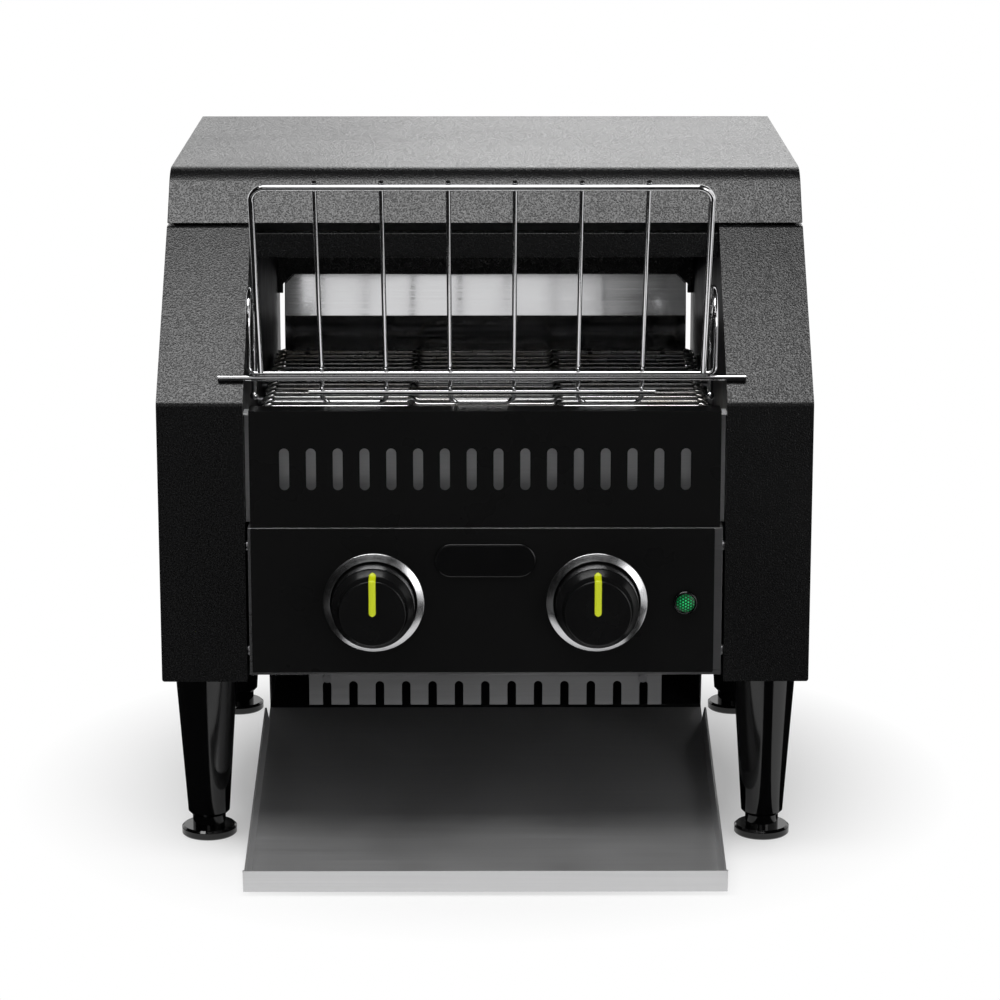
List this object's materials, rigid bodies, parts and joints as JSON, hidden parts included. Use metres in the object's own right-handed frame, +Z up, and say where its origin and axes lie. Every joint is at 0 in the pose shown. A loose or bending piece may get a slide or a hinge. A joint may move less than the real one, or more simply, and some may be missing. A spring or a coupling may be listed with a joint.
{
  "type": "conveyor toaster",
  "caption": "Counter-top conveyor toaster: wire rack feeding a flat-flex wire belt between quartz heaters, with a return chute, pull-out tray, two knobs and tapered legs.",
  "frame": {"origin": "on the counter, under the middle of the whole machine", "axes": "+Z up, -Y to the side where bread goes in, +X to the right of someone who stands in front"},
  "size_m": [0.368, 0.43, 0.4031],
  "materials": {
    "black_coat": "fine textured black powder coat",
    "black_panel": "smooth black",
    "galvanised": "plain galvanised sheet",
    "steel": "satin stainless steel",
    "dark_steel": "machined steel",
    "chrome": "bright chrome plate",
    "wire": "stainless wire",
    "black_plastic": "gloss black plastic",
    "knob_plastic": "satin black plastic",
    "pointer": "yellow-green plastic",
    "green_lens": "clear green plastic",
    "ceramic": "white ceramic",
    "quartz": "frosted quartz glass",
    "grey_plastic": "plain moulding",
    "motor_grey": "grey painted housing"
  },
  "bodies": {
    "chassis": {"left_base": "black_coat", "right_base": "black_coat", "left_inner_wall": "galvanised", "right_inner_wall": "galvanised", "left_side_cover": "black_coat", "right_side_cover": "black_coat", "top_cover": "black_coat", "header_panel": "black_coat", "vent_panel": "black_panel", "front_shield": "galvanised", "control_fascia": "steel", "control_panel": "black_panel", "panel_screws": "chrome", "comb_guard": "galvanised", "knob_bezels": "steel", "lamp_bezel": "black_plastic", "lamp_lens": "green_lens", "speed_control": "grey_plastic", "heat_switch": "ceramic", "upper_reflector": "steel", "lower_reflector": "steel", "upper_tubes": "quartz", "lower_tubes": "quartz", "tube_holders": "ceramic", "conveyor_belt": "wire", "belt_rods": "dark_steel", "shaft_bearings": "dark_steel", "gear_motor": "motor_grey", "roller_chain": "dark_steel", "fan_frame": "knob_plastic", "terminal_block": "ceramic", "rear_cover": "black_coat", "rear_baffle": "black_coat", "mains_gland": "knob_plastic", "return_chute": "steel", "legs": "black_plastic"},
    "drive": {"drive_shaft": "dark_steel", "drive_sprockets": "dark_steel", "driven_sprocket": "dark_steel"},
    "idler": {"idler_shaft": "dark_steel", "idler_sprockets": "dark_steel"},
    "motor_pinion": {"motor_sprocket": "dark_steel"},
    "fan": {"fan_rotor": "knob_plastic"},
    "speed_dial": {"speed_knob": "knob_plastic", "speed_pointer": "pointer", "speed_shaft": "dark_steel"},
    "heat_dial": {"heat_knob": "knob_plastic", "heat_pointer": "pointer", "heat_shaft": "dark_steel"},
    "deflector": {"rear_deflector": "steel"},
    "collecting_tray": {"tray": "steel"},
    "bread_rack": {"rack_frame": "chrome", "rack_bars": "chrome", "rack_wires": "chrome", "rack_hoops": "chrome"},
    "foot_front_left": {"front_left_foot": "black_plastic"},
    "foot_front_right": {"front_right_foot": "black_plastic"},
    "foot_rear_left": {"rear_left_foot": "black_plastic"},
    "foot_rear_right": {"rear_right_foot": "black_plastic"}
  },
  "joints": [
    {"name": "drive_spin", "type": "hinge", "parent": "chassis", "child": "drive", "pos_m": [0, 0.1019, 0.23236], "axis": [1, 0, 0], "continuous": true, "deforming": ["conveyor_belt", "roller_chain"]},
    {"name": "idler_spin", "type": "hinge", "parent": "chassis", "child": "idler", "pos_m": [0, -0.114, 0.23236], "axis": [1, 0, 0], "continuous": true},
    {"name": "motor_spin", "type": "hinge", "parent": "chassis", "child": "motor_pinion", "pos_m": [0.16, 0.04225, 0.14716], "axis": [1, 0, 0], "continuous": true},
    {"name": "fan_spin", "type": "hinge", "parent": "chassis", "child": "fan", "pos_m": [-0.17, 0.132, 0.175], "axis": [1, 0, 0], "continuous": true},
    {"name": "speed_turn", "type": "hinge", "parent": "chassis", "child": "speed_dial", "pos_m": [-0.0632, -0.158, 0.1556], "axis": [0, -1, 0], "range_deg": [-135, 135]},
    {"name": "heat_turn", "type": "hinge", "parent": "chassis", "child": "heat_dial", "pos_m": [0.0632, -0.158, 0.1556], "axis": [0, -1, 0], "range_deg": [-90, 180]},
    {"name": "deflector_pull", "type": "slide", "parent": "chassis", "child": "deflector", "axis": [0, 1, 0], "range_m": [0, 0.06]},
    {"name": "tray_pull", "type": "slide", "parent": "chassis", "child": "collecting_tray", "axis": [0, -1, 0], "range_m": [0, 0.24]},
    {"name": "rack_lift", "type": "slide", "parent": "chassis", "child": "bread_rack", "axis": [0, 0, 1], "range_m": [0, 0.12]},
    {"name": "foot_front_left_screw", "type": "slide", "parent": "chassis", "child": "foot_front_left", "axis": [0, 0, -1], "range_m": [0, 0.012]},
    {"name": "foot_front_right_screw", "type": "slide", "parent": "chassis", "child": "foot_front_right", "axis": [0, 0, -1], "range_m": [0, 0.012]},
    {"name": "foot_rear_left_screw", "type": "slide", "parent": "chassis", "child": "foot_rear_left", "axis": [0, 0, -1], "range_m": [0, 0.012]},
    {"name": "foot_rear_right_screw", "type": "slide", "parent": "chassis", "child": "foot_rear_right", "axis": [0, 0, -1], "range_m": [0, 0.012]}
  ],
  "couplings": [
    {"joint": "idler_spin", "follows": "drive_spin", "ratio": 1},
    {"joint": "motor_spin", "follows": "drive_spin", "ratio": 1}
  ]
}
